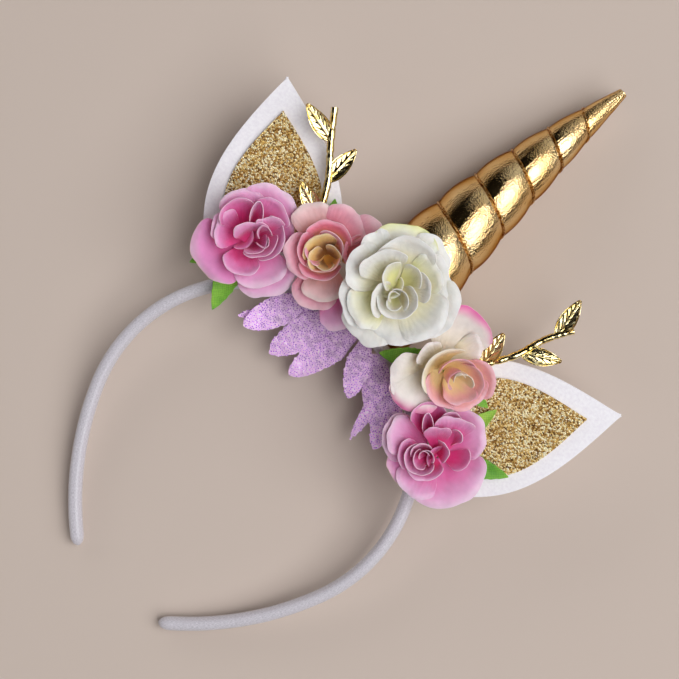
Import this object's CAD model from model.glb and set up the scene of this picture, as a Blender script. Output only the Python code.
import math

import bmesh
import bpy
from mathutils import Matrix, Vector, noise


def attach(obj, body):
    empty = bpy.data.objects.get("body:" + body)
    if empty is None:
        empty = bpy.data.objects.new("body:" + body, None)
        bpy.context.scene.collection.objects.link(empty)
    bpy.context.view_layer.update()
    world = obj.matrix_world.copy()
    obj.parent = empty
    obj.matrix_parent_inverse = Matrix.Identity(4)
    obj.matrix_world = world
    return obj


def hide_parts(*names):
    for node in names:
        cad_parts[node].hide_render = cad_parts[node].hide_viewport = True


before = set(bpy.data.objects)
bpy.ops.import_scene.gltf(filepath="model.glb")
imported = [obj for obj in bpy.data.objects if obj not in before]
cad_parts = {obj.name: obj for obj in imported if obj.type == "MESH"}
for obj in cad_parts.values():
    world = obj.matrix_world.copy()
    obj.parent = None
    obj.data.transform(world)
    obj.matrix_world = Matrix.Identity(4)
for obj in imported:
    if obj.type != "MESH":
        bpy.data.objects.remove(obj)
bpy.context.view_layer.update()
mm = 0.001

# Where the band's plane lies: the crown's centreline point and the slope down to the arms
bandPlane = {"crown": (-2.93026, 1.71433, 18.58053), "tiltDegrees": 6.54459}
planeToWorld = Matrix.Translation(Vector(bandPlane["crown"]) * mm) @ Matrix.Rotation(
    math.radians(bandPlane["tiltDegrees"]), 4, "X"
)


def hexColour(text):
    channels = [int(text[i : i + 2], 16) / 255.0 for i in (1, 3, 5)]
    linear = [c / 12.92 if c <= 0.04045 else ((c + 0.055) / 1.055) ** 2.4 for c in channels]
    return (*linear, 1.0)


def mixColour(first, second, share):
    share = min(1.0, max(0.0, share))
    return tuple(a + (b - a) * share for a, b in zip(first, second))


def smooth(low, high, value):
    share = min(1.0, max(0.0, (value - low) / (high - low)))
    return share * share * (3.0 - 2.0 * share)


def unevenAt(x, y, z):
    return noise.noise(Vector((x, y, z)))


# Gives back the material and its shader's inputs
def newMaterial(name, roughness, metallic=0.0, **settings):
    made = bpy.data.materials.new(name)
    made.use_nodes = True
    surface = made.node_tree.nodes["Principled BSDF"].inputs
    for setting, value in {"Roughness": roughness, "Metallic": metallic, **settings}.items():
        surface[setting.replace("_", " ")].default_value = value
    return made, surface


# Adds a node, links and sets its inputs, and gives back its outputs
def addNode(made, kind, links=None, **settings):
    node = made.node_tree.nodes.new("ShaderNode" + kind)
    for name, value in settings.items():
        if name in node.bl_rna.properties:
            setattr(node, name, value)
        else:
            node.inputs[name.replace("_", " ")].default_value = value
    for name, source in (links or {}).items():
        wire(made, source, node.inputs[name])
    return node.outputs


def wire(made, source, target):
    made.node_tree.links.new(source, target)


def addTone(made, source, stops):
    colour = addNode(made, "ValToRGB", {"Fac": source})["Color"]
    ramp = colour.node.color_ramp
    while len(ramp.elements) < len(stops):
        ramp.elements.new(0.5)
    for element, (position, stop) in zip(ramp.elements, stops):
        element.position = position
        element.color = hexColour(stop)
    return colour


def addMultiply(made, first, second):
    return addNode(made, "VectorMath", {0: first, 1: second}, operation="MULTIPLY")["Vector"]


# Bump that is so many metres deep, on top of the one under it
def addBump(made, height, strength, depth, under=None, invert=False):
    links = {"Height": height} if under is None else {"Height": height, "Normal": under}
    return addNode(made, "Bump", links, Strength=strength, Distance=depth, invert=invert)["Normal"]


def deselectAll():
    if bpy.context.object and bpy.context.object.mode == "EDIT":
        bpy.ops.object.mode_set(mode="OBJECT")
    bpy.ops.object.select_all(action="DESELECT")


def pickOnly(piece):
    deselectAll()
    piece.select_set(True)
    bpy.context.view_layer.objects.active = piece


def headings(degrees):
    ahead = Vector((math.cos(math.radians(degrees)), math.sin(math.radians(degrees)), 0.0))
    return ahead, Vector((-ahead.y, ahead.x, 0.0))


# A grid whose points are put by place(across from -1 to 1, along from 0 to 1)
def clothGrid(name, columns, rows, place, dye=None):
    deselectAll()
    bpy.ops.mesh.primitive_grid_add(x_subdivisions=columns, y_subdivisions=rows, size=2)
    sheet = bpy.context.object
    sheet.name = name
    colours = sheet.data.color_attributes.new("dye", "FLOAT_COLOR", "POINT") if dye else None
    for vert in sheet.data.vertices:
        across, along = vert.co.x, (vert.co.y + 1.0) / 2.0
        vert.co = place(across, along)
        if dye:
            colours.data[vert.index].color = dye(across, along)
    return sheet


def applyModifier(piece, kind, **settings):
    bpy.context.view_layer.objects.active = piece
    bpy.ops.object.modifier_add(type=kind)
    modifier = piece.modifiers[-1]
    for name, value in settings.items():
        setattr(modifier, name, value)
    bpy.ops.object.modifier_apply(modifier=modifier.name)


def joinPieces(name, pieces):
    deselectAll()
    for piece in pieces:
        piece.select_set(True)
    bpy.context.view_layer.objects.active = pieces[0]
    if len(pieces) > 1:
        bpy.ops.object.join()
    joined = bpy.context.object
    joined.name = name
    joined.data.name = name
    return joined


def mergeAndTurnOut(piece, distance=1e-6):
    pickOnly(piece)
    bpy.ops.object.mode_set(mode="EDIT")
    bpy.ops.mesh.select_all(action="SELECT")
    bpy.ops.mesh.remove_doubles(threshold=distance)
    bpy.ops.mesh.normals_make_consistent(inside=False)
    bpy.ops.object.mode_set(mode="OBJECT")


def fillOpenings(piece):
    pickOnly(piece)
    bpy.ops.object.mode_set(mode="EDIT")
    bpy.ops.mesh.select_mode(type="EDGE")
    bpy.ops.mesh.select_all(action="DESELECT")
    bpy.ops.mesh.select_non_manifold(extend=False, use_wire=False, use_multi_face=False)
    bpy.ops.mesh.fill()
    bpy.ops.mesh.select_all(action="SELECT")
    bpy.ops.mesh.normals_make_consistent(inside=False)
    bpy.ops.object.mode_set(mode="OBJECT")


def finishPiece(piece, material, nodes, smoothAngle=None):
    piece.data.materials.clear()
    piece.data.materials.append(material)
    pickOnly(piece)
    bpy.ops.object.transform_apply(location=True, rotation=True, scale=True)
    if smoothAngle is None:
        bpy.ops.object.shade_smooth()
    else:
        bpy.ops.object.shade_smooth_by_angle(angle=math.radians(smoothAngle))
    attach(piece, "root")
    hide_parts(*nodes)
    return piece


def crownPoint(angleDegrees, reach):
    turn = math.radians(angleDegrees)
    radius = band["crownRadius"] + reach
    return Vector((radius * math.sin(turn), radius * math.cos(turn) - band["crownRadius"], 0.0))


# Camera: straight down, turned so that the horn points up and to the right
view = {"height": 650.0, "aim": (-6.71, -7.70), "rollDegrees": 43.87, "fieldDegrees": 23.02}


def placeCamera():
    data = bpy.data.cameras.new("camera")
    camera = bpy.data.objects.new("camera", data)
    bpy.context.scene.collection.objects.link(camera)
    camera.location = (view["aim"][0] * mm, view["aim"][1] * mm, view["height"] * mm)
    camera.rotation_euler.z = math.radians(view["rollDegrees"])
    data.sensor_fit = "HORIZONTAL"
    data.angle = math.radians(view["fieldDegrees"])
    data.clip_start = 0.01
    bpy.context.scene.camera = camera


# Light: two wide softboxes high on the +X side, which the horn mirrors, and three low fills,
# of which the one on the -X side leaves no glint, so that the horn stays dark on that side
lights = {
    "key": {"at": (0.80, 0.70, 2.75), "size": 1.30, "tall": 2.60, "watts": 50.0},
    "second": {"at": (1.95, 0.60, 2.10), "size": 1.40, "tall": 3.00, "watts": 40.0},
    "fillNear": {"at": (-0.60, -2.20, 1.40), "size": 2.40, "tall": 1.60, "watts": 7.0},
    "fillFar": {"at": (-0.40, 2.20, 1.40), "size": 2.40, "tall": 1.60, "watts": 6.0},
    "fillSide": {
        "at": (-2.40, 0.30, 1.05), "size": 1.00, "tall": 3.00, "watts": 15.0, "glint": False,
    },
}
sky = {
    "overhead": "#171411",
    "overheadFrom": 0.28,
    "sides": "#A89C90",
    "sidesUpTo": 0.08,
    "strength": 0.60,
}


def placeLights():
    for name, light in lights.items():
        data = bpy.data.lights.new(name, "AREA")
        data.shape = "RECTANGLE"
        data.size = light["size"]
        data.size_y = light["tall"]
        data.energy = light["watts"]
        lamp = bpy.data.objects.new(name, data)
        lamp.visible_glossy = light.get("glint", True)
        bpy.context.scene.collection.objects.link(lamp)
        outward = Vector(light["at"]).normalized()
        aside = Vector((0.0, 1.0, 0.0)).cross(outward).normalized()
        turned = Matrix((aside, outward.cross(aside), outward)).transposed()
        lamp.matrix_world = Matrix.Translation(light["at"]) @ turned.to_4x4()
    world = bpy.data.worlds.new("studio")
    world.use_nodes = True
    facing = addNode(world, "TexCoord")
    axes = addNode(world, "SeparateXYZ", {"Vector": facing["Generated"]})
    tone = addTone(world, axes["Z"], [
        (sky["sidesUpTo"], sky["sides"]), (sky["overheadFrom"], sky["overhead"]),
    ])
    background = world.node_tree.nodes["Background"]
    wire(world, tone, background.inputs["Color"])
    background.inputs["Strength"].default_value = sky["strength"]
    bpy.context.scene.world = world
    bpy.context.scene.view_settings.view_transform = "Standard"


# The floor's size and level are in metres
ground = {"size": 6.0, "level": -0.0004, "colour": "#C9BAB0"}


def layFloor():
    deselectAll()
    bpy.ops.mesh.primitive_plane_add(size=ground["size"], location=(0.0, 0.0, ground["level"]))
    floor = bpy.context.object
    floor.name = "floor"
    # plain matt paper
    made, _ = newMaterial("paleFloor", 0.95, Base_Color=hexColour(ground["colour"]))
    floor.data.materials.append(made)


# Hair band: satin ribbon folded lengthwise round a flat hoop, its edge seen near the inside
band = {
    "crownRadius": 63.4,
    "crownHalfAngle": 110.9,
    "armRadius": 124.0,
    "armLength": 65.0,
    "thickness": 5.3,
    "width": 6.4,
    "tipLength": 5.0,
    "stations": 420,
    "corners": 40,
    "roundness": (0.8, 0.78),
    "insideShare": 0.92,
    "seamAt": 152.0,
    "seamStep": 0.22,
    "seamDegrees": (5.0, 75.0),
    "rumple": 0.05,
}


def satinRibbon():
    # woven polyester satin: soft streaked gloss
    made, surface = newMaterial("satinRibbon", 0.27, Sheen_Weight=0.25, Anisotropic=0.55)
    at = addNode(made, "TexCoord")
    stretch = addNode(made, "Mapping", {"Vector": at["UV"]}, Scale=(60.0, 420.0, 1.0))
    streaks = addNode(made, "TexNoise", {"Vector": stretch["Vector"]}, Scale=1.0, Detail=3.0)
    tone = addTone(made, streaks["Fac"], [(0.25, "#B6B1BA"), (0.75, "#E0DCE4")])
    wire(made, tone, surface["Base Color"])
    weave = addNode(made, "TexWave", {"Vector": at["UV"]}, Scale=200.0, bands_direction="Y")
    bump = addBump(made, weave["Fac"], 0.12, 0.00008)
    creases = addBump(made, streaks["Fac"], 0.3, 0.0003, bump)
    wire(made, creases, surface["Normal"])
    return made


def bandStation(distance):
    side = 1.0 if distance >= 0.0 else -1.0
    along = abs(distance)
    halfAngle = math.radians(band["crownHalfAngle"])
    crownLength = band["crownRadius"] * halfAngle
    if along <= crownLength:
        turn = along / band["crownRadius"]
        point = crownPoint(math.degrees(turn), 0.0)
    else:
        turn = halfAngle + (along - crownLength) / band["armRadius"]
        joint = Vector((math.sin(halfAngle), math.cos(halfAngle), 0.0))
        centre = crownPoint(band["crownHalfAngle"], 0.0) - band["armRadius"] * joint
        point = centre + band["armRadius"] * Vector((math.sin(turn), math.cos(turn), 0.0))
    outward = Vector((side * math.sin(turn), math.cos(turn), 0.0))
    return Vector((side * point.x, point.y, 0.0)), outward


def makeBand():
    halfLength = band["crownRadius"] * math.radians(band["crownHalfAngle"]) + band["armLength"]

    def place(across, along):
        eased = math.sin((along - 0.5) * math.pi) if along in (0.0, 1.0) else (along - 0.5) * 2.0
        distance = eased * halfLength
        point, normal = bandStation(distance)
        intoTip = max(0.0, (abs(distance) - (halfLength - band["tipLength"])) / band["tipLength"])
        scale = math.sqrt(max(0.0, 1.0 - (0.985 * intoTip) ** 2.2))
        turn = math.pi * (across + 1.0)
        side, up = math.cos(turn), math.sin(turn)
        out = math.copysign(abs(side) ** band["roundness"][0], side) * band["thickness"] / 2.0
        if side < 0.0:
            out *= band["insideShare"]
        rise = math.copysign(abs(up) ** band["roundness"][1], up) * band["width"] / 2.0
        seam = math.degrees(turn) - band["seamAt"]
        top, end = band["seamDegrees"]
        lip = band["seamStep"] * (smooth(0.0, top, seam) - smooth(top, end, seam))
        soft = band["rumple"] * unevenAt(distance * 0.11, side * 1.3, up * 1.3)
        out = out * (1.0 + (lip + soft) / 2.6)
        rise = rise * (1.0 + (lip + soft) / 3.2)
        point = point + normal * (out * scale) + Vector((0.0, 0.0, rise * scale))
        return planeToWorld @ (point * mm)

    piece = clothGrid("satinBand", band["corners"], band["stations"], place)
    mergeAndTurnOut(piece)
    fillOpenings(piece)
    finishPiece(piece, satinRibbon(), ["band"])
    print("band made")


# Horn: glossy metallised cloth, stuffed and bound in a left-handed spiral
horn = {
    "length": 132.0,
    "baseRadius": 18.0,
    "tipRadius": 1.9,
    "taper": 1.8,
    "grooveDepth": 2.1,
    "pitchAtBase": 21.1,
    "pitchAtTip": 13.9,
    "firstGroove": 0.31,
    "boundShare": 0.93,
    "fadeShare": 0.03,
    "yawDegrees": -4.0,
    "droopDegrees": 4.0,
    "bow": 3.0,
    "start": 2.95,
    "around": 168,
    "perTurn": 46,
    "puckers": 0.11,
    "swell": 0.12,
    "puffShape": 0.78,
    "fill": 0.9,
}


def hornEnvelope(distance):
    share = min(1.0, max(0.0, distance / horn["length"]))
    swing = horn["baseRadius"] - horn["tipRadius"]
    return horn["tipRadius"] + swing * (1.0 - share ** horn["taper"])


def hornShrink():
    return (horn["pitchAtBase"] - horn["pitchAtTip"]) / horn["length"]


def hornDistance(turns):
    distance = horn["pitchAtBase"] * (1.0 - math.exp(-hornShrink() * turns)) / hornShrink()
    return min(horn["length"], max(0.0, distance))


def hornTurns(distance):
    return -math.log(1.0 - hornShrink() * distance / horn["pitchAtBase"]) / hornShrink()


def hornRadius(distance, fromGroove):
    depth = horn["grooveDepth"] * hornEnvelope(distance) / horn["baseRadius"]
    low, high = horn["boundShare"] - horn["fadeShare"], horn["boundShare"] + horn["fadeShare"]
    depth *= 1.0 - smooth(low, high, distance / horn["length"])
    puff = abs(math.sin(math.pi * fromGroove)) ** horn["puffShape"]
    return hornEnvelope(distance) - depth * (1.0 - puff)


def hornMatrix():
    tilt = math.radians(-(bandPlane["tiltDegrees"] + horn["droopDegrees"]))
    yaw = math.radians(horn["yawDegrees"])
    turned = Matrix.Rotation(yaw, 4, "Z") @ Matrix.Rotation(tilt, 4, "X")
    return planeToWorld @ Matrix.Translation((0.0, horn["start"] * mm, 0.0)) @ turned


def hornPoint(distance, angle, radius):
    bow = horn["bow"] * math.sin(math.pi * distance / horn["length"])
    return Vector((radius * math.sin(angle) - bow, distance, radius * math.cos(angle))) * mm


def metallisedCloth():
    # foil-printed knit: bright, grainy gloss, amber where it turns away
    made, surface = newMaterial("metallisedCloth", 0.15, 1.0, Specular_Tint=hexColour("#8A4404"))
    at = addNode(made, "TexCoord")
    patches = addNode(made, "TexNoise", {"Vector": at["Object"]}, Scale=90.0, Detail=3.0)
    tone = addTone(made, patches["Fac"], [(0.30, "#ECC280"), (0.72, "#F9DCA6")])
    wire(made, tone, surface["Base Color"])
    # knit about 0.3 mm, drawn as 0.6 mm so that it shows
    knit = addNode(made, "TexVoronoi", {"Vector": at["Object"]}, Scale=1700.0)
    grain = addBump(made, knit["Distance"], 0.46, 0.00022)
    rumple = addNode(made, "TexNoise", {"Vector": at["Object"]}, Scale=420.0, Detail=3.0)
    creased = addBump(made, rumple["Fac"], 0.20, 0.00025, grain)
    wire(made, creased, surface["Normal"])
    rough = addNode(made, "MapRange", {"Value": rumple["Fac"]}, To_Min=0.10, To_Max=0.18)
    wire(made, rough["Result"], surface["Roughness"])
    return made


def makeHorn():
    lastTurn = hornTurns(horn["length"]) + 1.0
    rows = round((lastTurn + 1.0) * horn["perTurn"])
    matrix = hornMatrix()

    def place(across, along):
        groove = -1.0 + along * (lastTurn + 1.0)
        turn = (across + 1.0) / 2.0
        distance = hornDistance(groove + turn + horn["firstGroove"])
        fromGroove = hornTurns(distance) - turn - horn["firstGroove"]
        radius = hornRadius(distance, fromGroove)
        fade = math.sin(math.pi * fromGroove) ** 2
        angle = 2.0 * math.pi * turn
        spread = 3.6 * radius / horn["baseRadius"] + 0.8
        ring = Vector((math.cos(angle), math.sin(angle), 0.0)) * spread
        pull = noise.noise(ring * 2.6 + Vector((0.0, 0.0, distance * 0.10)))
        pucker = horn["puckers"] * abs(pull) * 2.2 * (0.25 + 0.75 * (1.0 - fade))
        swell = noise.noise(ring * 0.8 + Vector((5.0, 0.0, distance * 0.05)))
        pucker += horn["swell"] * (1.0 + swell) * fade
        if distance <= 0.0 or distance >= horn["length"]:
            pucker = 0.0
        return matrix @ hornPoint(distance, -angle, radius - pucker)

    piece = clothGrid("stuffedHorn", horn["around"], rows, place)
    mergeAndTurnOut(piece, 2e-6)
    fillOpenings(piece)
    finishPiece(piece, metallisedCloth(), ["horn"])
    print("horn made")


# Cord: two plies of metallic thread lying in the horn's groove
cord = {
    "radius": 0.46,
    "lift": 0.30,
    "plyPitch": 2.0,
    "start": 1.0,
    "step": 0.35,
    "fineSteps": 4000,
    "sides": 12,
    "plyShape": (0.80, 0.24),
    "endShare": 0.15,
}


def metallicThread():
    # foil-wrapped yarn: glinting, banded
    made, surface = newMaterial("metallicThread", 0.30, 1.0)
    at = addNode(made, "TexCoord")
    glint = addNode(made, "TexVoronoi", {"Vector": at["Object"]}, Scale=1900.0)
    tone = addTone(made, glint["Distance"], [
        (0.18, "#FFF0BC"), (0.42, "#E0A244"), (0.66, "#7A3C10"),
    ])
    wire(made, tone, surface["Base Color"])
    bump = addBump(made, glint["Distance"], 0.6, 0.0002)
    wire(made, bump, surface["Normal"])
    return made


def makeCord():
    matrix = hornMatrix()
    fine = cord["fineSteps"]
    stop = hornTurns(horn["length"] * horn["boundShare"]) - horn["firstGroove"]
    path = []
    for step in range(fine + 1):
        turn = cord["start"] + (stop - cord["start"]) * step / fine
        distance = hornDistance(turn + horn["firstGroove"])
        radius = hornRadius(distance, 0.0) + cord["lift"] * min(1.0, radiusShare(distance))
        path.append(hornPoint(distance, -2.0 * math.pi * turn, radius) / mm)
    lengths = [0.0]
    for before, after in zip(path, path[1:]):
        lengths.append(lengths[-1] + (after - before).length)
    rows = int(lengths[-1] / cord["step"])

    def place(across, along):
        target = along * lengths[-1]
        index = min(fine - 1, int(along * fine))
        while index > 0 and lengths[index] > target:
            index -= 1
        while index < fine - 1 and lengths[index + 1] < target:
            index += 1
        span = lengths[index + 1] - lengths[index]
        point = path[index].lerp(path[index + 1], (target - lengths[index]) / span)
        ahead = (path[index + 1] - path[index]).normalized()
        bow = horn["bow"] * math.sin(math.pi * point.y / horn["length"])
        out = Vector((point.x + bow, 0.0, point.z)).normalized()
        aside = ahead.cross(out).normalized()
        out = aside.cross(ahead)
        angle = math.pi * (across + 1.0)
        twist = 2.0 * math.pi * target / cord["plyPitch"]
        ply = cord["plyShape"][0] + cord["plyShape"][1] * abs(math.cos(angle - twist))
        fromEnd = min(along, 1.0 - along)
        taper = min(1.0, cord["endShare"] + 6.0 * fromEnd * lengths[-1] / 20.0)
        radius = cord["radius"] * ply * taper
        point = point + out * (radius * math.cos(angle)) + aside * (radius * math.sin(angle))
        return matrix @ (point * mm)

    piece = clothGrid("twistedCord", cord["sides"], rows, place)
    mergeAndTurnOut(piece)
    fillOpenings(piece)
    finishPiece(piece, metallicThread(), ["horn_cord"])
    print("cord made")


def radiusShare(distance):
    return hornEnvelope(distance) / horn["baseRadius"] * 2.0


# Ears: stiff white felt arches with a glitter-coated panel on each
ear = {
    "length": 77.5,
    "halfWidth": 26.0,
    "widestFromTip": 52.0,
    "baseHalfWidth": 22.0,
    "angles": {"left": -37.4, "right": 40.5},
    "thickness": 2.0,
    "floor": 3.5,
    "sag": 0.25,
    "rounding": 0.0005,
    "crowding": 1.35,
    "grid": (22, 44),
    "flatMetres": (0.0525, 0.0775),
    "cutShare": 0.78,
}
panel = {
    "length": 45.0,
    "halfWidth": 18.8,
    "widestFromTip": 36.0,
    "baseHalfWidth": 16.0,
    "belowEarTip": 12.8,
    "thickness": 1.0,
    "aboveFelt": 0.25,
    "grid": (20, 36),
    "flatMetres": (0.0376, 0.045),
}


def archHalfWidth(shape, fromTip):
    if fromTip <= shape["widestFromTip"]:
        return shape["halfWidth"] * math.sin(math.pi / 2.0 * fromTip / shape["widestFromTip"])
    share = (fromTip - shape["widestFromTip"]) / (shape["length"] - shape["widestFromTip"])
    swing = shape["halfWidth"] - shape["baseHalfWidth"]
    return shape["baseHalfWidth"] + swing * math.cos(math.pi / 2.0 * share)


def whiteFelt():
    # pressed polyester fibres: flat white, faint nap
    made, surface = newMaterial("whiteFelt", 0.92, Sheen_Weight=0.35, Sheen_Roughness=0.6)
    at = addNode(made, "TexCoord")
    nap = addNode(made, "TexNoise", {"Vector": at["Object"]}, Scale=900.0, Detail=5.0)
    tone = addTone(made, nap["Fac"], [(0.30, "#F1EDF5"), (0.70, "#FCFAFF")])
    wire(made, tone, surface["Base Color"])
    bump = addBump(made, nap["Fac"], 0.25, 0.0003)
    wire(made, bump, surface["Normal"])
    return made


def glitterSheet():
    # flakes in lacquer: each faces its own way
    made, surface = newMaterial("glitterSheet", 0.38, 0.55)
    at = addNode(made, "TexCoord")
    # flakes about 0.4 mm, drawn as 0.55 mm so that they show
    flakes = addNode(made, "TexVoronoi", {"Vector": at["Object"]}, Scale=1800.0)
    pick = addNode(made, "SeparateColor", {"Color": flakes["Color"]})
    tone = addTone(made, pick["Red"], [
        (0.0, "#5A3814"), (0.25, "#A87830"), (0.52, "#E0B868"), (0.78, "#FCECB8"), (1.0, "#FFF8DC"),
    ])
    wire(made, tone, surface["Base Color"])
    height = addNode(made, "Math", {0: pick["Green"], 1: flakes["Distance"]}, operation="SUBTRACT")
    bump = addBump(made, height["Value"], 1.0, 0.0003)
    wire(made, bump, surface["Normal"])
    return made


def makeEar(side, felt, glitter):
    angle = ear["angles"][side]
    root = crownPoint(angle, 0.0)
    ahead = Vector((math.sin(math.radians(angle)), math.cos(math.radians(angle)), 0.0))
    aside = Vector((ahead.y, -ahead.x, 0.0))

    def makeArch(name, shape, base, level):
        def place(across, along):
            eased = 1.0 - (1.0 - along) ** ear["crowding"]
            fromTip = (1.0 - eased) * shape["length"]
            half = archHalfWidth(shape, max(fromTip, 0.25))
            sag = ear["sag"] * unevenAt(across * 0.8, along * 1.7, angle)
            point = root + ahead * (base + eased * shape["length"]) + aside * (across * half)
            return planeToWorld @ ((point + Vector((0.0, 0.0, level + sag))) * mm)

        arch = clothGrid(name, *shape["grid"], place)
        mergeAndTurnOut(arch)
        applyModifier(arch, "SOLIDIFY", thickness=shape["thickness"] * mm, offset=0.0)
        return arch

    felted = makeArch(f"earFelt_{side}", ear, 0.0, ear["floor"] + ear["thickness"] / 2.0)
    applyModifier(felted, "BEVEL", width=ear["rounding"], segments=3,
                  limit_method="ANGLE", angle_limit=math.radians(50.0))
    finishPiece(felted, felt, [f"ear_{side}"], smoothAngle=50.0)

    base = ear["length"] - panel["belowEarTip"] - panel["length"]
    level = ear["floor"] + ear["thickness"] + panel["aboveFelt"] + panel["thickness"] / 2.0
    coated = makeArch(f"earGlitter_{side}", panel, base, level)
    finishPiece(coated, glitter, [f"ear_panel_{side}"], smoothAngle=50.0)


def makeEars():
    felt, glitter = whiteFelt(), glitterSheet()
    for side in ("left", "right"):
        makeEar(side, felt, glitter)
    print("ears made")


# Petal dyes: throat, body, tip and the thin pale line of the cut edge
dyes = {
    "pink": ("#E84890", "#EC90C8", "#F1BADD", "#FCE0F0"),
    "pinkPale": ("#E870B0", "#EFAAD6", "#F4CEE7", "#FCE4F2"),
    "pinkDeep": ("#EA3C8C", "#E878B8", "#F0A8D2", "#FCD8EC"),
    "pinkGold": ("#DA559A", "#E88EC8", "#E8B8D4", "#ECDCA0"),
    "dusty": ("#F08CA2", "#F4AABE", "#F6C6D2", "#FBDFE6"),
    "dustyCream": ("#F0B4AC", "#F4C6C8", "#F6DAD8", "#FBE8E4"),
    "coral": ("#F4BC70", "#F88AA4", "#FAB0C6", "#FEDCE4"),
    "coralGold": ("#D8983A", "#F5A868", "#F9AEB6", "#FCD6D0"),
    "ochre": ("#96602A", "#ECBE74", "#F5D6A6", "#FCE8D4"),
    "white": ("#EEE6C0", "#F1EEE8", "#F3F0EF", "#FBF8F7"),
    "whiteGreen": ("#E6E2A2", "#F0ECD2", "#F3F0EC", "#FBF8F5"),
    "whiteGold": ("#E6E6B4", "#F4F3EA", "#EEEFB4", "#E4E86E"),
    "whiteBlush": ("#F0E2C4", "#F5EAE2", "#F5E6E6", "#FBF0F0"),
    "whitePinkTip": ("#F4E8DA", "#F5E8E4", "#E868AA", "#F6BCD6"),
    "creamBud": ("#F2D696", "#F7EAC2", "#F8EEDC", "#FCF3E4"),
    "coralBud": ("#F5D296", "#F8B2B4", "#F6C0CC", "#FBA4C0"),
}
dyes = {name: [hexColour(stop) for stop in stops] for name, stops in dyes.items()}

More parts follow.
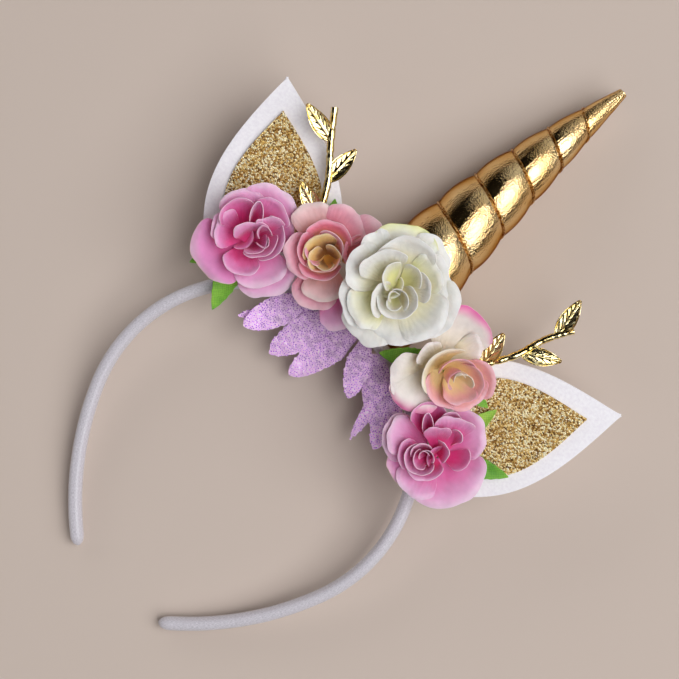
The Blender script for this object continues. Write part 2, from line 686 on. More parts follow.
# Each rose: its calyx's centre in the band's plane, the way it leans, and its petals by ring, as
#   own centre x, y  towards  reach  halfAngle  pinch  height  steep  curl  foot  dye
# in degrees and millimetres; pinch narrows a folded petal, and steep goes from 0 for an open
# petal to 1 for an upright one
roses = {
    "rose_pink_left": {
        "centre": (-55.13, -5.71, 8.80),
        "lean": (4.0, 60.0),
        "slot": "pink_cloth",
        "outer": [
            (0.3, 8.7, 102, 14.9, 68, 1, 5.5, 0.1, 0.9, 3.6, "pinkPale"),
            (-3.5, 5.0, 148, 13.0, 55, 1, 6.2, 0.15, 0.8, 3.9, "pinkPale"),
            (-2.0, 1.3, 202, 11.8, 42, 1, 7, 0.25, 0.8, 4, "pink"),
            (-1.1, -3.0, 248, 17.1, 68, 1, 4.6, 0.08, 1.3, 3.4, "pinkGold"),
            (5.7, -0.1, 329, 14.6, 60, 1, 5.2, 0.1, 0.9, 3.8, "pinkPale"),
            (7.2, -0.3, 332, 17.4, 52, 1, 3.4, 0.05, 0.8, 2.6, "pinkPale"),
            (5.1, 6.6, 49, 10.8, 52, 1, 4.5, 0.1, 0.8, 3, "pink"),
        ],
        "middle": [
            (-0.8, 0.9, 203, 11.0, 55, 1, 9, 0.5, 1, 4, "pink"),
            (-4.6, 3.9, 162, 8.7, 73, 1, 10.5, 0.8, 0.6, 4.6, "pinkDeep"),
            (3.5, -2.9, 296, 8.9, 70, 1, 8.4, 0.45, 0.8, 4, "pink"),
            (0.8, 8.4, 88, 10.5, 57, 1, 9, 0.55, 1, 4.2, "pink"),
            (2.7, 5.0, 28, 9.9, 80, 1, 9.5, 0.75, 0.6, 4.3, "pink"),
            (2.3, 4.7, 339, 8.7, 68, 1, 10, 0.8, 0.6, 4.6, "pink"),
        ],
        "inner": [
            (6.7, -0.6, 146, 11.6, 44, 1, 12, 0.6, 0.5, 5, "pink"),
            (8.7, 4.2, 129, 11.3, 36, 1, 12, 0.6, 0.5, 5, "pink"),
            (-1.8, 8.8, 121, 6.2, 125, 0.4, 11.5, 0.9, 0.3, 5, "pink"),
            (2.0, 2.9, 347, 5.9, 74, 1, 12, 0.85, 0.5, 5, "pinkDeep"),
        ],
        "heart": [
            (5.4, 6.2, 147, 4.3, 100, 0.6, 12.5, 1, 0.3, 5.4, "pinkDeep"),
            (5.0, 5.1, 341, 3.5, 90, 0.7, 12.8, 1, 0.3, 5.4, "pinkDeep"),
            (-2.4, 0.0, 0, 5.6, 80, 1, 5.2, 0.1, 0.1, 3.8, "pinkDeep"),
        ],
    },
    "rose_blush_left": {
        "centre": (-29.04, 11.47, 11.80),
        "lean": (7.0, 190.0),
        "slot": "blush_cloth",
        "outer": [
            (-5.0, 2.5, 146, 14.0, 49, 1, 4.8, 0.08, 0.8, 3.4, "dustyCream"),
            (-1.8, 4.6, 90, 15.5, 44, 1, 4.4, 0.05, 0.8, 3, "dusty"),
            (1.8, 4.9, 63, 18.6, 36, 1, 3.4, 0.05, 0.6, 2.6, "dusty"),
            (-2.2, -2.2, 232, 11.1, 72, 1, 6, 0.15, 1.1, 3.8, "dusty"),
            (4.1, -3.4, 311, 12.8, 55, 1, 5.2, 0.1, 0.9, 3.6, "dustyCream"),
            (3.7, -5.8, 296, 14.3, 52, 1, 3.6, 0.05, 0.8, 2.8, "dusty"),
            (11.1, -7.0, 324, 16.1, 34, 1, 3, 0.05, 0.5, 2.4, "pinkPale"),
            (11.0, 10.5, 206, 7.5, 72, 1, 6.4, 0.45, 0.6, 3.6, "coral"),
        ],
        "middle": [
            (-0.1, 2.9, 120, 10.0, 80, 1, 8.8, 0.55, 1.2, 4, "coral"),
            (-0.7, 0.2, 219, 8.4, 68, 1, 8.4, 0.75, 0.6, 4.2, "coral"),
            (0.3, 0.1, 306, 10.0, 70, 1, 8, 0.75, 0.6, 4, "coral"),
        ],
        "inner": [
            (0.4, 1.1, 224, 6.3, 72, 1, 9.6, 0.9, 0.4, 4.6, "coral"),
            (0.4, 1.1, 80, 7.5, 76, 1, 9.6, 0.9, 0.4, 4.6, "coral"),
            (0.3, 1.1, 324, 7.6, 72, 1, 9.2, 0.9, 0.4, 4.5, "coralGold"),
        ],
        "heart": [
            (3.6, -0.4, 164, 9.9, 60, 1, 9.6, 0.35, 0.4, 4.2, "ochre"),
            (3.4, -0.6, 211, 6.5, 55, 1, 9.2, 0.45, 0.4, 4.2, "ochre"),
            (3.2, -0.2, 84, 5.7, 60, 1, 9.4, 0.6, 0.4, 4.4, "ochre"),
            (3.0, -0.4, 308, 3.9, 70, 1, 8.6, 0.9, 0.3, 4.6, "ochre"),
        ],
    },
    "rose_white": {
        "centre": (-2.50, 20.96, 22.62),
        "lean": (0.0, 0.0),
        "slot": "cream_cloth",
        "outer": [
            (-2.3, 5.8, 122, 18.0, 57, 1, 4.8, 0.08, 1.1, 3.6, "whiteGold"),
            (-0.1, 7.8, 82, 16.4, 42, 1, 4.4, 0.08, 0.9, 3.2, "white"),
            (1.9, 4.7, 52, 16.1, 44, 1, 4.8, 0.1, 1, 3.5, "white"),
            (5.5, 3.0, 12, 19.4, 49, 1, 4.6, 0.08, 1, 3.2, "white"),
            (4.4, -0.1, 321, 17.9, 55, 1, 4.8, 0.08, 1, 3.4, "white"),
            (1.2, -5.3, 276, 18.0, 47, 1, 4.4, 0.08, 1, 3.1, "white"),
            (0.2, -2.1, 241, 19.0, 44, 1, 5, 0.1, 1, 3.6, "white"),
        ],
        "middle": [
            (-4.9, 1.3, 202, 14.9, 51, 1, 7.6, 0.35, 1.6, 4.4, "white"),
            (-5.9, 4.4, 167, 14.8, 33, 1, 6.6, 0.3, 1, 4.1, "white"),
            (-1.2, 7.1, 130, 12.8, 79, 1, 9.4, 0.5, 1.2, 4.6, "white"),
            (1.9, 4.8, 66, 13.0, 46, 1, 7, 0.35, 1.1, 4.2, "whiteGreen"),
            (0.2, -4.0, 254, 14.5, 46, 1, 6.6, 0.3, 1.1, 4.2, "whiteGreen"),
            (5.5, 1.1, 355, 16.7, 53, 1, 6.4, 0.3, 1.2, 4.2, "white"),
        ],
        "inner": [
            (-1.3, -0.1, 153, 13.2, 55, 1, 10.5, 0.6, 0.6, 4.9, "white"),
            (3.4, 3.3, 49, 8.8, 50, 1, 9, 0.55, 0.7, 4.7, "white"),
            (4.8, -3.4, 205, 9.2, 60, 1, 9.6, 0.75, 0.6, 4.9, "white"),
            (3.3, -0.8, 293, 8.0, 82, 1, 9, 0.75, 0.7, 4.8, "white"),
            (3.8, -1.3, 35, 6.9, 64, 1, 9, 0.75, 0.7, 4.8, "white"),
            (-0.2, 4.0, 197, 6.5, 72, 1, 10.6, 0.85, 0.6, 5, "whiteGreen"),
            (0.8, 5.0, 73, 6.1, 64, 1, 10, 0.8, 0.7, 4.9, "whiteGreen"),
        ],
        "heart": [
            (3.8, -2.3, 277, 3.6, 90, 0.8, 10, 1, 0.4, 5.4, "whiteGreen"),
            (3.8, -2.2, 74, 4.3, 90, 1, 10.4, 1, 0.4, 5.4, "white"),
            (3.3, -2.2, 168, 3.2, 90, 0.7, 10.6, 1, 0.3, 5.4, "whiteGreen"),
            (-2.4, 0.0, 0, 5.6, 80, 1, 5.2, 0.1, 0.1, 3.8, "whiteGreen"),
        ],
    },
    "rose_blush_right": {
        "centre": (28.91, 10.76, 14.30),
        "lean": (18.0, 350.0),
        "slot": "blush_cloth",
        "outer": [
            (-3.7, 6.8, 103, 18.7, 57, 1, 5, 0.08, 0.8, 3.2, "whitePinkTip"),
            (-1.5, 9.3, 54, 10.3, 44, 1, 4.8, 0.08, 0.8, 3, "whiteBlush"),
            (-0.6, -3.6, 219, 16.4, 42, 1, 4.4, 0.08, 0.9, 3, "whiteBlush"),
            (-4.4, -3.2, 289, 17.0, 47, 1, 5.4, 0.15, 1, 3.8, "whitePinkTip"),
            (-4.0, 1.7, 175, 8.3, 57, 1, 5.6, 0.15, 0.9, 3.5, "whiteBlush"),
            (9.3, 3.8, 55, 10.6, 68, 1, 7.4, 0.3, 1, 3.8, "coralBud"),
            (7.6, 2.0, 343, 11.2, 68, 1, 6.8, 0.3, 0.8, 3.6, "coralBud"),
        ],
        "middle": [
            (3.7, 1.4, 183, 12.1, 80, 1, 9.5, 0.75, 0.8, 4.2, "creamBud"),
            (4.9, 0.4, 267, 10.2, 64, 1, 8.4, 0.7, 0.6, 4, "coralBud"),
        ],
        "inner": [
            (4.4, 2.6, 140, 8.3, 72, 1, 10.4, 0.8, 0.6, 4.8, "coralBud"),
            (6.6, 2.8, 44, 7.9, 76, 1, 9.8, 0.8, 0.7, 4.6, "coralBud"),
            (6.7, 2.0, 318, 7.7, 64, 1, 9.6, 0.8, 0.6, 4.6, "coralBud"),
        ],
        "heart": [
            (5.2, 2.3, 202, 4.2, 84, 1, 11, 1, 0.4, 5.2, "coralBud"),
            (6.3, 2.7, 94, 4.1, 90, 1, 11.4, 1, 0.3, 5.2, "creamBud"),
            (5.4, 2.8, 154, 4.0, 90, 0.6, 11.6, 1, 0.3, 5.2, "creamBud"),
        ],
    },
    "rose_pink_right": {
        "centre": (51.79, -14.25, 8.80),
        "lean": (4.0, 80.0),
        "slot": "pink_cloth",
        "outer": [
            (-7.7, -0.5, 212, 14.7, 52, 1, 4.4, 0.08, 0.9, 2.8, "pinkPale"),
            (-8.2, -0.0, 208, 13.1, 47, 1, 5.8, 0.12, 0.9, 3.8, "pinkPale"),
            (-3.9, -5.9, 245, 11.9, 49, 1, 3.8, 0.05, 0.8, 2.8, "pinkGold"),
            (0.0, -4.7, 279, 13.7, 49, 1, 5.4, 0.1, 1, 3.9, "pinkPale"),
            (1.7, -0.3, 340, 19.1, 72, 1, 4.8, 0.08, 1.2, 3.4, "pinkPale"),
            (-0.8, 8.5, 59, 13.3, 68, 1, 5.2, 0.1, 1, 3.5, "pinkPale"),
        ],
        "middle": [
            (-10.7, 7.0, 145, 7.8, 80, 1, 10, 0.75, 0.6, 4.4, "pinkDeep"),
            (-10.1, 5.5, 134, 5.4, 120, 0.4, 10.5, 0.9, 0.3, 4.8, "pink"),
            (-3.1, 10.6, 133, 6.8, 70, 0.75, 9.5, 0.7, 0.6, 4.5, "pink"),
            (-0.9, 9.0, 67, 3.6, 70, 0.9, 9.6, 0.85, 0.5, 4.5, "pink"),
            (-4.7, -4.5, 212, 8.1, 57, 1, 8.2, 0.5, 0.8, 4, "pink"),
            (-2.5, -3.0, 310, 8.4, 68, 1, 8.6, 0.6, 0.8, 4.2, "pink"),
            (4.5, 5.1, 5, 5.8, 70, 1, 7.6, 0.55, 0.7, 4, "pinkDeep"),
        ],
        "inner": [
            (4.1, 1.5, 125, 17.3, 32, 1, 11, 0.6, 0.5, 4.8, "pink"),
            (0.2, -2.1, 127, 13.4, 28, 1, 12, 0.7, 0.4, 5, "pinkDeep"),
            (-3.8, -4.8, 223, 5.8, 86, 1, 9.8, 0.85, 0.5, 4.6, "pink"),
            (-3.6, -4.6, 306, 5.8, 80, 1, 9.4, 0.8, 0.5, 4.6, "pink"),
            (-4.2, -3.6, 154, 4.6, 80, 1, 10.2, 0.85, 0.5, 4.8, "pink"),
            (-2.4, 0.5, 51, 5.5, 64, 1, 11.4, 0.85, 0.5, 5, "pinkDeep"),
        ],
        "heart": [
            (-3.1, -4.0, 238, 3.8, 95, 1, 10.4, 1, 0.3, 5.2, "pinkDeep"),
            (-3.0, -3.0, 80, 2.9, 90, 1, 10.8, 1, 0.3, 5.2, "pinkDeep"),
            (-3.4, -3.4, 154, 2.4, 100, 0.8, 11, 1, 0.3, 5.2, "pinkDeep"),
            (2.4, 0.0, 180, 5.6, 80, 1, 5.2, 0.1, 0.1, 3.8, "pinkDeep"),
        ],
    },
}
petal = {
    "columns": 40,
    "rows": 22,
    "thickness": 0.22,
    "footRadius": 0.5,
    "fullness": 0.55,
    "overlap": 0.5,
    "ruffle": 0.8,
    "rollFrom": 0.64,
    "notch": 0.03,
    "fray": 0.012,
    "crease": 0.07,
    "fold": 0.22,
    "cutEdge": 0.8,
    "crowding": 1.25,
    "smallestSheet": 10.5,
}


def petalCloth(name):
    # starched polyester: soft sheen, light through it
    made, surface = newMaterial(
        name, 0.58, Sheen_Weight=0.30, Sheen_Roughness=0.45, Subsurface_Weight=0.18,
        Subsurface_Radius=(1.0, 0.6, 0.5), Subsurface_Scale=0.0012,
    )
    dye = addNode(made, "Attribute", attribute_name="dye")
    at = addNode(made, "TexCoord")
    mottle = addNode(made, "TexNoise", {"Vector": at["Object"]}, Scale=260.0, Detail=6.0)
    shade = addNode(made, "MapRange", {"Value": mottle["Fac"]}, To_Min=0.84, To_Max=1.14)
    tinted = addMultiply(made, dye["Color"], shade["Result"])
    wire(made, tinted, surface["Base Color"])
    # threads about 0.12 mm apart, drawn as 0.3 mm so that they show
    stretch = addNode(made, "Mapping", {"Vector": at["UV"]}, Scale=(60.0, 60.0, 1.0))
    weave = addNode(made, "TexBrick", {"Vector": stretch["Vector"]}, Scale=1.0)
    veins = addNode(made, "TexWave", {"Vector": at["UV"]}, Scale=4.5, Distortion=4.5, Detail=3.0)
    ribbed = addBump(made, veins["Fac"], 0.16, 0.0003)
    woven = addBump(made, weave["Fac"], 0.30, 0.0001, ribbed)
    wire(made, woven, surface["Normal"])
    return made


def bezier(first, second, third, last, share):
    rest = 1.0 - share
    return (
        rest**3 * first
        + 3.0 * rest**2 * share * second
        + 3.0 * rest * share**2 * third
        + share**3 * last
    )


def makePetal(name, row, matrix, seed):
    centreX, centreY, towards, reach, halfAngle, pinch, height, steep, curl, foot, dyeName = row
    footRadius = min(petal["footRadius"], 0.4 * reach)
    span = reach - footRadius
    size = min(1.0, reach / 12.0)
    turned = Matrix.Rotation(math.radians(towards), 2)

    def rimShare(across):
        corner = 0.45 + 0.22 * steep
        lobe = (1.0 - abs(across) ** 2.8) ** 0.5
        notch = petal["notch"] * math.exp(-((across / 0.10) ** 2)) * (1.0 - steep)
        fray = petal["fray"] * unevenAt(across * 16.0, seed * 5.3, 0.0)
        wobble = 0.10 * unevenAt(across * 2.4, seed * 3.7, 2.0) - 0.03
        return min(1.02, corner + (1.0 - corner) * lobe - notch + fray + wobble)

    def place(across, along):
        across = math.sin(across * math.pi / 2.0)
        eased = 1.0 - (1.0 - along) ** petal["crowding"]
        run = eased * rimShare(across)
        radial = bezier(
            footRadius,
            footRadius + span * (0.45 + 0.45 * steep),
            footRadius + span * (0.78 + 0.06 * steep),
            reach,
            run,
        )
        early, late = height * (0.30 - 0.26 * steep), height * (1.20 - 0.42 * steep)
        rise = bezier(0.0, early, late, height, run)
        rolled = smooth(petal["rollFrom"], 1.0, eased) ** 1.6
        roll = max(rolled, 0.8 * smooth(0.78, 1.0, abs(across)) * run)
        rise -= 0.7 * curl * roll
        radial += 0.45 * curl * roll * steep
        side = petal["overlap"] * across * run * 1.6 * size
        rise += side * (1.0 - steep) * 1.3
        radial -= side * steep * 1.2
        wave = unevenAt(across * 1.5 + seed * 3.1, run * 1.3, seed * 1.7)
        rise += petal["ruffle"] * (0.5 + 0.9 * (1.0 - steep)) * wave * 1.9 * run**1.5 * size
        radial += petal["ruffle"] * wave * 1.3 * steep * run * size
        ripple = unevenAt(across * 3.2 + seed, seed * 2.3, run * 1.5)
        rise += 0.6 * petal["ruffle"] * ripple * smooth(0.5, 1.0, eased) * size
        radial += 0.4 * ripple * smooth(0.5, 1.0, eased) * size
        crease = unevenAt(across * 6.0, seed * 4.1, run * 1.2)
        rise += petal["crease"] * crease * smooth(0.1, 0.5, run)
        fold = petal["fold"] * math.exp(-((across / 0.22) ** 2))
        rise -= fold * math.sin(math.pi * run) * (1.0 - steep)
        turn = math.radians(halfAngle * across * (0.80 + 0.20 * run))
        fuller = min(3.0, (max(radial, 0.1) / reach) ** (-petal["fullness"] * (1.0 - steep)))
        flat = turned @ Vector((radial * math.cos(turn), fuller * pinch * radial * math.sin(turn)))
        shift = 0.5 + 0.5 * smooth(0.0, 0.7, run)
        local = Vector((flat.x + centreX * shift, flat.y + centreY * shift, foot + rise))
        return matrix @ (local * mm)

    throat, body, tip, edge = dyes[dyeName]

    def dye(across, along):
        across = math.sin(across * math.pi / 2.0)
        run = (1.0 - (1.0 - along) ** petal["crowding"]) * rimShare(across)
        blot = 0.09 * unevenAt(across * 3.0 + seed, run * 5.0, seed)
        colour = mixColour(throat, body, smooth(0.22, 0.66, run + blot))
        colour = mixColour(colour, tip, smooth(0.62, 1.0, run + blot + 0.05 * abs(across)))
        sides = smooth(0.985, 1.0, abs(across)) * smooth(0.3, 0.5, run)
        lip = petal["cutEdge"] * max(smooth(0.97, 1.0, along), sides)
        return mixColour(colour, edge, lip)

    return clothGrid(name, petal["columns"], petal["rows"], place, dye)


def petalCut(row):
    reach, halfAngle, pinch, height, steep = row[3:8]
    width = 2.0 * math.radians(halfAngle) * reach * (0.68 + 0.27 * steep) * (0.4 + 0.6 * pinch)
    return 0.85 * width * math.hypot((reach - petal["footRadius"]) * (1.0 - 0.3 * steep), height)


def roseMatrix(rose, upright=False):
    lean, towards = rose["lean"]
    axis, _ = headings(towards + 90.0)
    turned = Matrix.Rotation(0.0 if upright else math.radians(lean), 4, axis)
    return planeToWorld @ Matrix.Translation(Vector(rose["centre"]) * mm) @ turned


def makeRoses():
    cloths = {
        "pink_cloth": petalCloth("dyedPinkPetalCloth"),
        "blush_cloth": petalCloth("dyedBlushPetalCloth"),
        "cream_cloth": petalCloth("dyedWhitePetalCloth"),
    }
    for roseName, rose in roses.items():
        matrix = roseMatrix(rose)
        for ring in ("outer", "middle", "inner", "heart"):
            pieces = []
            cut = 0.0
            for index, row in enumerate(rose[ring]):
                # its own ruffle for each petal
                seed = len(roseName) * 1.37 + rose["centre"][0] * 0.31 + index * 2.71
                seed += ord(ring[0]) * 0.113
                pieces.append(makePetal(f"petal_{index}", row, matrix, seed))
                cut += petalCut(row)
            piece = joinPieces(f"{roseName}_{ring}Petals", pieces)
            mergeAndTurnOut(piece, 1e-7)
            applyModifier(piece, "SOLIDIFY", thickness=petal["thickness"] * mm, offset=0.0)
            node = "heart" if ring == "heart" else f"petals_{ring}"
            finishPiece(piece, cloths[rose["slot"]], [f"{roseName}_{node}"])
        print(roseName, "made")


# Green cloth: the cup under each rose and the leaves that show past it, as
#   towards  length  width  lift  droop
# The cup's profile is in shares of its radius and in millimetres of height
calyx = {
    "radius": 3.0,
    "profile": [(0.95, -2.2), (0.98, -1.0), (1.0, 0.3), (1.05, 0.8), (0.8, 1.0), (0.0, 0.9)],
    "footDepth": 3.0,
    "ribs": 0.05,
    "ribCount": 5.0,
    "cupGrid": (30, 35),
    "leafGrid": (12, 36),
    "leafThickness": 0.35,
    "leafLevel": 0.4,
    "leafCut": 0.62,
    "teeth": 9.0,
    "toothDepth": 0.14,
}
greens = {
    "rose_pink_left": {
        "stem": 0.0,
        "floor": -0.6,
        "leaves": [(288, 29.5, 11.5, 0.6, 0.8), (246, 23.0, 9.0, 0.4, 0.4)],
    },
    "rose_blush_left": {
        "stem": 3.0,
        "floor": -3.6,
        "leaves": [(126, 20.8, 8.5, 0.8, 0.4)],
    },
    "rose_white": {
        "stem": 4.2,
        "floor": 0.0,
        "leaves": [(262, 20.0, 8.0, 0.5, 0.4)],
    },
    "rose_blush_right": {
        "stem": 5.5,
        "floor": -6.1,
        "leaves": [(214, 22.5, 9.5, 1.6, 0.3), (2, 25.0, 9.5, 0.6, 0.3)],
    },
    "rose_pink_right": {
        "stem": 0.0,
        "floor": -0.6,
        "leaves": [(26, 28.5, 10.5, 0.8, 0.5), (80, 28.0, 9.5, 0.5, 0.3)],
    },
}


def wovenGreenCloth():
    # printed taffeta leaf: fine even weave
    made, surface = newMaterial("wovenGreenCloth", 0.62, Sheen_Weight=0.2)
    at = addNode(made, "TexCoord")
    patches = addNode(made, "TexNoise", {"Vector": at["Object"]}, Scale=160.0, Detail=3.0)
    tone = addTone(made, patches["Fac"], [(0.30, "#5CA02A"), (0.55, "#82BE3A"), (0.75, "#AECC50")])
    # threads about 0.2 mm apart, drawn as 0.45 mm so that they show
    threads = addNode(made, "TexChecker", {"Vector": at["Object"]}, Scale=2200.0,
                      Color1=(1.12, 1.12, 1.12, 1.0), Color2=(0.80, 0.80, 0.80, 1.0))
    mixed = addMultiply(made, tone, threads["Color"])
    wire(made, mixed, surface["Base Color"])
    bump = addBump(made, threads["Fac"], 0.25, 0.0002)
    wire(made, bump, surface["Normal"])
    return made


def leafHalfWidth(share, width):
    outline = math.sin(math.pi * share**0.8) ** 0.75 if 0.0 < share < 1.0 else 0.0
    saw = 1.0 - calyx["toothDepth"] * ((share * calyx["teeth"]) % 1.0)
    return max(0.12, width / 2.0 * outline * saw)


def makeGreenLeaf(name, row, floor, matrix, seed):
    towards, length, width, lift, droop = row
    ahead, aside = headings(towards)

    def place(across, along):
        half = leafHalfWidth(along * 0.93 + 0.07, width)
        fold = 0.22 * abs(across) * half + 0.10 * math.exp(-((across / 0.12) ** 2))
        rise = lift * math.sin(math.pi * along) - droop * along**2 + fold
        rise += 0.35 * unevenAt(across, along * 3.0, seed)
        level = floor + calyx["leafLevel"] + max(0.0, rise)
        local = ahead * (along * length) + aside * (across * half) + Vector((0.0, 0.0, level))
        return matrix @ (local * mm)

    return clothGrid(name, *calyx["leafGrid"], place)


def makeGreens():
    cloth = wovenGreenCloth()
    for name, green in greens.items():
        matrix = roseMatrix(roses[name], upright=True)
        leaves = [
            makeGreenLeaf(f"leaf_{index}", row, green["floor"], matrix, index + row[0] * 0.1)
            for index, row in enumerate(green["leaves"])
        ]
        blades = joinPieces(f"{name}_greenLeaves", leaves)
        mergeAndTurnOut(blades, 1e-7)
        applyModifier(blades, "SOLIDIFY", thickness=calyx["leafThickness"] * mm, offset=0.0)
        applyModifier(blades, "SUBSURF", levels=1, render_levels=1)
        finishPiece(blades, cloth, [f"{name}_calyx"])

        foot = -green["stem"] - calyx["footDepth"]
        profile = [(0.0, foot), (calyx["profile"][0][0], foot), *calyx["profile"]]

        def place(across, along):
            turn = math.pi * (across + 1.0)
            spot = along * (len(profile) - 1)
            index = min(int(spot), len(profile) - 2)
            share = spot - index
            out, up = (a + (b - a) * share for a, b in zip(profile[index], profile[index + 1]))
            ribs = 1.0 + calyx["ribs"] * math.cos(calyx["ribCount"] * turn)
            radial = out * calyx["radius"] * ribs
            return matrix @ (Vector((radial * math.cos(turn), radial * math.sin(turn), up)) * mm)

        cup = clothGrid(f"{name}_calyxCup", *calyx["cupGrid"], place)
        mergeAndTurnOut(cup)
        finishPiece(cup, cloth, [f"{name}_calyx"], smoothAngle=60.0)
    print("greens made")


# Lace: glittery lilac mesh leaves that fan out under the roses, as
#   angle  reach  towards  length  width  layer  cup
lace = {
    "leaves": [
        (-15.0, -2.0, 229.0, 33.5, 7.0, 0, 0.4),
        (-22.5, -2.0, 247.0, 26.0, 12.5, 2, 0.9),
        (-11.0, -2.0, 255.0, 30.5, 13.0, 1, 1.0),
        (-1.5, -2.0, 258.0, 32.5, 12.5, 0, 0.9),
        (3.5, -2.0, 296.0, 23.5, 10.5, 2, 0.7),
        (9.5, -2.0, 314.0, 31.0, 12.5, 1, 0.9),
        (18.5, -2.0, 282.0, 30.5, 5.5, 0, 0.2),
        (24.5, -2.0, 291.0, 24.5, 10.5, 2, 0.8),
    ],
    "grid": (14, 48),
    "droop": 12.0,
    "droopReach": 28.0,
    "droopFrom": 1.0,
    "ripples": 14.0,
    "rippleHeight": 0.8,
    "nick": 1.1,
    "cutShare": 0.78,
    "narrowestSheet": 10.0,
    "thickness": 0.5,
    "bandTop": 3.5,
    "clearance": 0.6,
    "layerStep": 1.3,
}


def glitteryLace():
    # knitted mesh with lurex: holes and sparks
    made, surface = newMaterial("glitteryLace", 0.55, Sheen_Weight=0.15)
    at = addNode(made, "TexCoord")
    # mesh holes about 0.6 mm apart, drawn as 0.75 mm so that they show
    holes = addNode(made, "TexVoronoi", {"Vector": at["Object"]}, feature="DISTANCE_TO_EDGE",
                    Scale=1350.0, Randomness=0.9)
    tone = addTone(made, holes["Distance"], [
        (0.05, "#FFE0FF"), (0.17, "#E8A4FC"), (0.37, "#7E34B0"),
    ])
    pattern = addNode(made, "TexNoise", {"Vector": at["Object"]}, Scale=330.0, Detail=2.0)
    relief = addNode(made, "MapRange", {"Value": pattern["Fac"]},
                     From_Min=0.35, From_Max=0.65, To_Min=0.80, To_Max=1.12)
    mixed = addMultiply(made, tone, relief["Result"])
    # deeper lilac at the root, so that a leaf stands out from the one under it
    spot = addNode(made, "SeparateXYZ", {"Vector": at["UV"]})
    depth = addNode(made, "MapRange", {"Value": spot["Y"]},
                    From_Min=0.1, From_Max=0.75, To_Min=0.70, To_Max=1.24)
    deepened = addMultiply(made, mixed, depth["Result"])
    wire(made, deepened, surface["Base Color"])
    sparks = addNode(made, "TexVoronoi", {"Vector": at["Object"]}, Scale=2300.0)
    pick = addNode(made, "SeparateColor", {"Color": sparks["Color"]})
    lurex = addNode(made, "MapRange", {"Value": pick["Red"]},
                    From_Min=0.80, From_Max=0.84, To_Min=0.62, To_Max=0.18)
    wire(made, lurex["Result"], surface["Roughness"])
    mesh = addBump(made, holes["Distance"], 0.6, 0.0005, invert=True)
    motif = addBump(made, pattern["Fac"], 0.5, 0.0012, mesh)
    wire(made, motif, surface["Normal"])
    return made


def laceDrape(point):
    fromCentre = math.hypot(point.x, point.y + band["crownRadius"])
    innerRadius = band["crownRadius"] - band["thickness"] / 2.0
    share = max(0.0, innerRadius - lace["droopFrom"] - fromCentre) / lace["droopReach"]
    ripple = math.sin(lace["ripples"] * math.atan2(point.x, point.y + band["crownRadius"]))
    return -lace["droop"] * share**1.5 + lace["rippleHeight"] * ripple * min(1.0, share)


def makeLace():
    cloth = glitteryLace()
    for index, row in enumerate(lace["leaves"]):
        angle, reach, towards, length, width, layer, cup = row
        root = crownPoint(angle, reach)
        ahead, aside = headings(towards)
        level = lace["bandTop"] + layer * lace["layerStep"] + lace["clearance"]

        def place(across, along):
            outline = (0.45 + 0.55 * smooth(0.0, 0.4, along)) * (1.0 - along**3.2) ** 0.55
            spot = Vector((along * 11.0, math.copysign(2.0, across), index))
            nick = lace["nick"] * abs(noise.noise(spot))
            nick += 0.35 * abs(math.sin(along * length * 1.9))
            half = max(0.2, width / 2.0 * outline * 1.06 - nick * smooth(0.05, 0.3, along))
            point = root + ahead * (along * length) + aside * (across * half)
            rise = laceDrape(point) - cup * abs(across) ** 1.6 * math.sin(math.pi * along)
            rise += 0.25 * unevenAt(point.x * 0.25, point.y * 0.25, index)
            return planeToWorld @ ((point + Vector((0.0, 0.0, level + rise))) * mm)

        leaf = clothGrid(f"laceLeaf_{index + 1}", *lace["grid"], place)
        mergeAndTurnOut(leaf, 1e-7)
        applyModifier(leaf, "SOLIDIFY", thickness=lace["thickness"] * mm, offset=0.0)
        finishPiece(leaf, cloth, [f"lace_leaf_{index + 1}"], smoothAngle=60.0)
    print("lace made")


# Twigs: one casting each, a notched stem with three veined leaves, gilt and polished
twig = {
    "radius": 1.4,
    "sides": 14,
    "curveSteps": 4,
    "stemStep": 0.8,
    "notchEvery": 6,
    "notchShare": 0.86,
    "unevenness": 0.16,
    "leafGrid": (36, 20),
    "leafWidth": 7.0,
    "leafThickness": 0.5,
    "leafArch": 0.45,
    "rimHeight": 0.55,
    "midribHeight": 0.50,
    "veinHeight": 0.38,
    "veinStep": 2.9,
    "levels": {"left": 10.9, "right": 7.2},
    "stems": {
        "left": [(-26.4, 28.6), (-26.3, 35.5), (-26.8, 45.0), (-28.2, 57.0), (-29.0, 69.3)],
        "right": [(25.8, 31.0), (26.1, 36.0), (26.3, 45.0), (25.4, 56.0), (25.7, 67.3)],
    },
    "leaves": {
        "left": [(0.02, 160.0, 14.2, 4.0), (0.44, 91.0, 15.4, -4.0), (0.76, 167.0, 15.9, 12.0)],
        "right": [(0.02, 101.0, 14.2, 8.0), (0.53, 31.0, 15.2, -4.0), (0.86, 102.0, 15.7, 8.0)],
    },
}


def giltCasting():
    # flash-plated zinc casting: hard, clear shine
    made, surface = newMaterial("giltCasting", 0.16, 1.0)
    at = addNode(made, "TexCoord")
    wear = addNode(made, "TexNoise", {"Vector": at["Object"]}, Scale=300.0, Detail=4.0)
    tone = addTone(made, wear["Fac"], [(0.35, "#EED182"), (0.65, "#FDF1C2")])
    wire(made, tone, surface["Base Color"])
    rough = addNode(made, "MapRange", {"Value": wear["Fac"]}, To_Min=0.10, To_Max=0.26)
    wire(made, rough["Result"], surface["Roughness"])
    bump = addBump(made, wear["Fac"], 0.25, 0.0008)
    wire(made, bump, surface["Normal"])
    return made


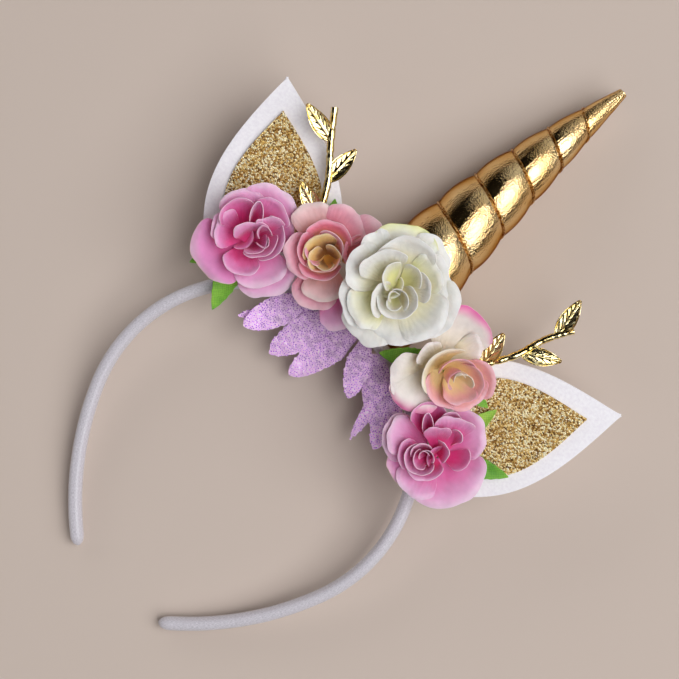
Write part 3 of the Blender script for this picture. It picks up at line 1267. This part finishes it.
def makeStem(name, points):
    deselectAll()
    start = points[0]
    radius = twig["radius"] * mm
    bpy.ops.mesh.primitive_circle_add(vertices=twig["sides"], radius=radius, fill_type="NGON")
    stem = bpy.context.object
    stem.name = name
    heading = (points[1] - points[0]).normalized()
    turned = heading.to_track_quat("Z", "X").to_matrix().to_4x4()
    stem.matrix_world = Matrix.Translation(start * mm) @ turned
    bpy.ops.object.transform_apply(location=True, rotation=True, scale=True)
    bpy.ops.object.mode_set(mode="EDIT")
    bpy.ops.mesh.select_all(action="SELECT")
    spot, walked, size = start.copy(), 0.0, 1.0
    for before, after in zip(points, points[1:]):
        steps = max(3, round((after - before).length / twig["stemStep"]))
        turn = (after - before).angle(heading)
        axis = heading.cross(after - before)
        if turn > 1e-4:
            bend = Matrix.Rotation(turn, 3, axis)
            mesh = bmesh.from_edit_mesh(stem.data)
            picked = [vert for vert in mesh.verts if vert.select]
            bmesh.ops.rotate(mesh, cent=spot * mm, matrix=bend, verts=picked)
        heading = (after - before).normalized()
        for step in range(steps):
            move = (after - before) / steps
            bpy.ops.mesh.extrude_region_move(TRANSFORM_OT_translate={"value": move * mm})
            spot += move
            walked += move.length
            notched = round(walked / twig["stemStep"]) % twig["notchEvery"] == 0
            uneven = unevenAt(walked * 0.55, spot.x * 0.3, 0.0)
            wanted = (twig["notchShare"] if notched else 1.0) * (1.0 + twig["unevenness"] * uneven)
            share = wanted / size
            bpy.ops.transform.resize(value=(share, share, share), center_override=spot * mm)
            size = wanted
    bpy.ops.mesh.select_all(action="SELECT")
    bpy.ops.mesh.normals_make_consistent(inside=False)
    bpy.ops.object.mode_set(mode="OBJECT")
    return stem


def makeCastLeaf(name, length):
    deselectAll()
    columns, rows = twig["leafGrid"]
    bpy.ops.mesh.primitive_grid_add(x_subdivisions=columns, y_subdivisions=rows, size=1.0)
    leaf = bpy.context.object
    leaf.name = name
    width = twig["leafWidth"]
    for vert in leaf.data.vertices:
        along, across = vert.co.x + 0.5, vert.co.y * 2.0
        half = width / 2.0 * max(0.05, math.sin(math.pi * (0.06 + 0.94 * along) ** 0.85) ** 0.7)
        if along > 0.995:
            half = 0.12
        rim = smooth(0.74, 0.90, abs(across)) - 0.45 * smooth(0.93, 1.0, abs(across))
        midrib = math.exp(-((across * half / 0.32) ** 2))
        slant = (along * length - abs(across) * half * 1.7) / twig["veinStep"]
        vein = max(0.0, 1.0 - abs((slant % 1.0) - 0.5) / 0.17)
        vein *= smooth(0.05, 0.2, abs(across)) * (1.0 - smooth(0.70, 0.80, abs(across)))
        rise = twig["rimHeight"] * rim + twig["midribHeight"] * midrib + twig["veinHeight"] * vein
        rise += 0.5 * (across * half / 3.0) ** 2
        rise += twig["leafArch"] * math.sin(math.pi * along)
        vert.co = Vector((along * length, across * half, rise)) * mm
    return leaf


def makeTwigs():
    gilt = giltCasting()
    for side in ("left", "right"):
        level = Vector((0.0, 0.0, twig["levels"][side]))
        points = [crownPoint(*place) + level for place in twig["stems"][side]]
        smoothPoints = []
        for index in range(len(points) - 1):
            before, after = points[max(0, index - 1)], points[min(len(points) - 1, index + 2)]
            first, last = points[index], points[index + 1]
            for step in range(twig["curveSteps"]):
                share = step / twig["curveSteps"]
                out = (last - before) / 6.0
                back = (after - first) / 6.0
                smoothPoints.append(bezier(first, first + out, last - back, last, share))
        smoothPoints.append(points[-1])
        world = [planeToWorld @ (point * mm) / mm for point in smoothPoints]
        parts = [makeStem(f"stem_{side}", world)]
        for index, (share, towards, length, pitch) in enumerate(twig["leaves"][side]):
            leaf = makeCastLeaf(f"castLeaf_{side}_{index}", length)
            applyModifier(leaf, "SOLIDIFY", thickness=twig["leafThickness"] * mm, offset=-1.0)
            applyModifier(leaf, "SUBSURF", levels=1, render_levels=1)
            along = share * (len(points) - 1)
            at = min(int(along), len(points) - 2)
            root = points[at].lerp(points[at + 1], along - at)
            turned = Matrix.Rotation(math.radians(towards), 4, "Z")
            turned = turned @ Matrix.Rotation(math.radians(-pitch), 4, "Y")
            leaf.data.transform(planeToWorld @ Matrix.Translation(root * mm) @ turned)
            parts.append(leaf)
        piece = joinPieces(f"giltTwig_{side}", parts)
        finishPiece(piece, gilt, [f"twig_{side}"], smoothAngle=45.0)
    print("twigs made")


placeCamera()
placeLights()
layFloor()
makeBand()
makeHorn()
makeCord()
makeEars()
makeRoses()
makeGreens()
makeLace()
makeTwigs()
